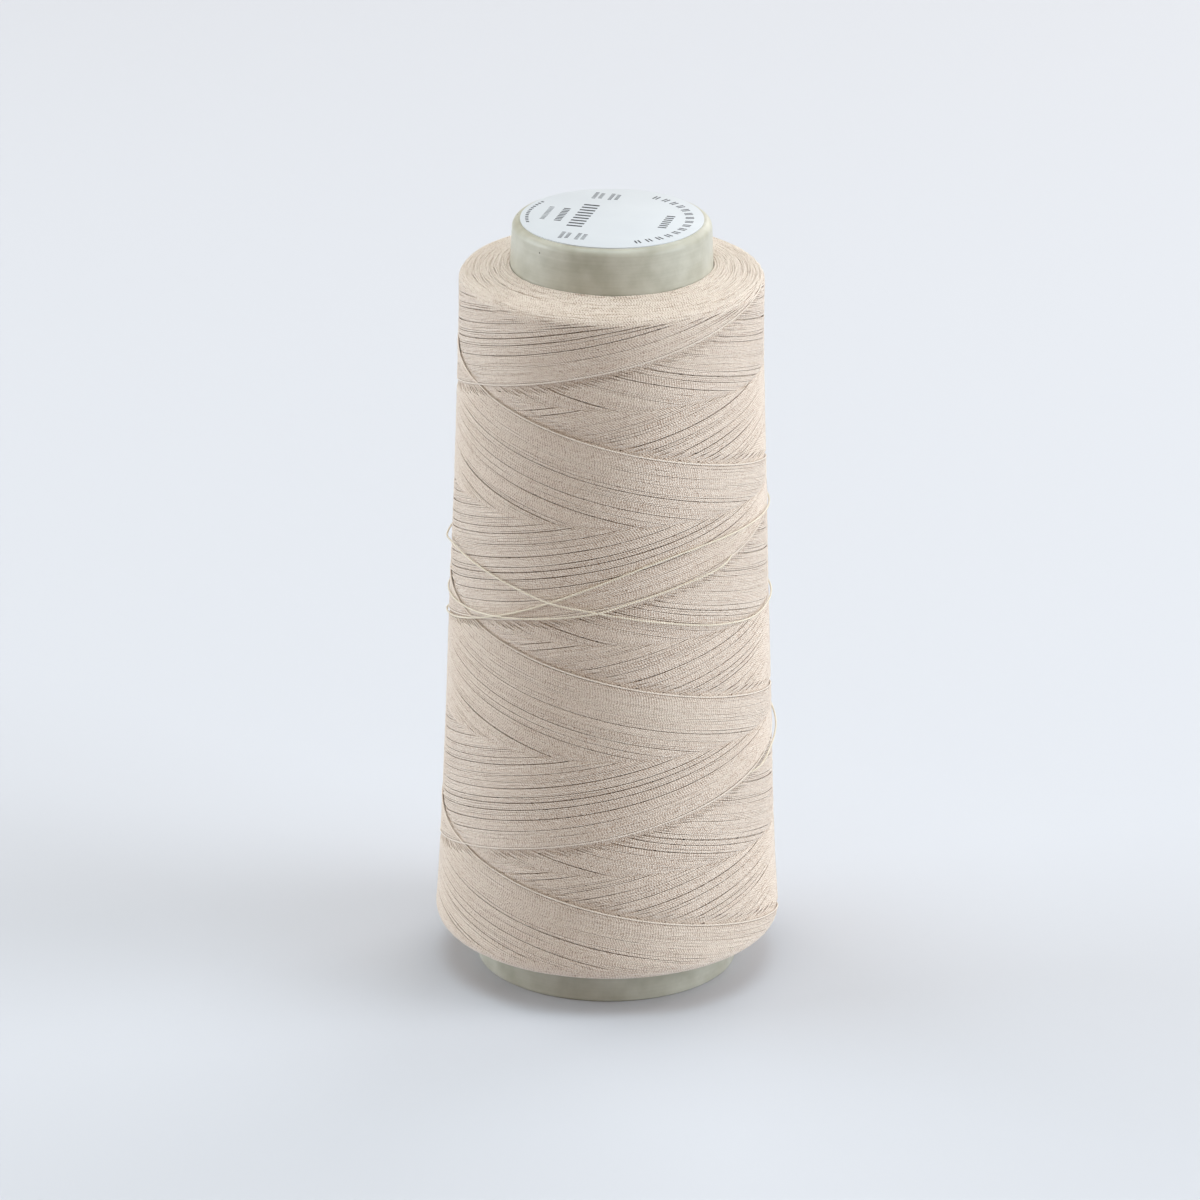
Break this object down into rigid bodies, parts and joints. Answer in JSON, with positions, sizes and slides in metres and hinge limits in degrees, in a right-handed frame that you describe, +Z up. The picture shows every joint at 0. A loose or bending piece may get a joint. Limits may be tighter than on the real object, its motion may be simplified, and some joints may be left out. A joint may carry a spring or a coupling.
{
  "type": "sewing thread cone",
  "caption": "Cone of fine cross-wound sewing thread on a tapered plastic tube with an open foot, a round paper label on its nose, and a loose running end.",
  "frame": {"origin": "centre of the tube's open foot, on the surface that the cone stands on", "axes": "+Z up along the cone's axis towards its labelled nose, -Y is the front, +X is to the right of the front"},
  "size_m": [0.0506, 0.0506, 0.115],
  "materials": {
    "cone_tube": "satin moulded polypropylene, warm pale grey",
    "thread_winding": "fine plied spun-polyester thread, light beige",
    "label_disc": "smooth white printed paper",
    "running_end": "fine plied spun-polyester thread, light beige"
  },
  "bodies": {
    "root": {"cone_tube": "cone_tube", "thread_winding": "thread_winding", "label_disc": "label_disc", "running_end": "running_end"}
  },
  "joints": []
}
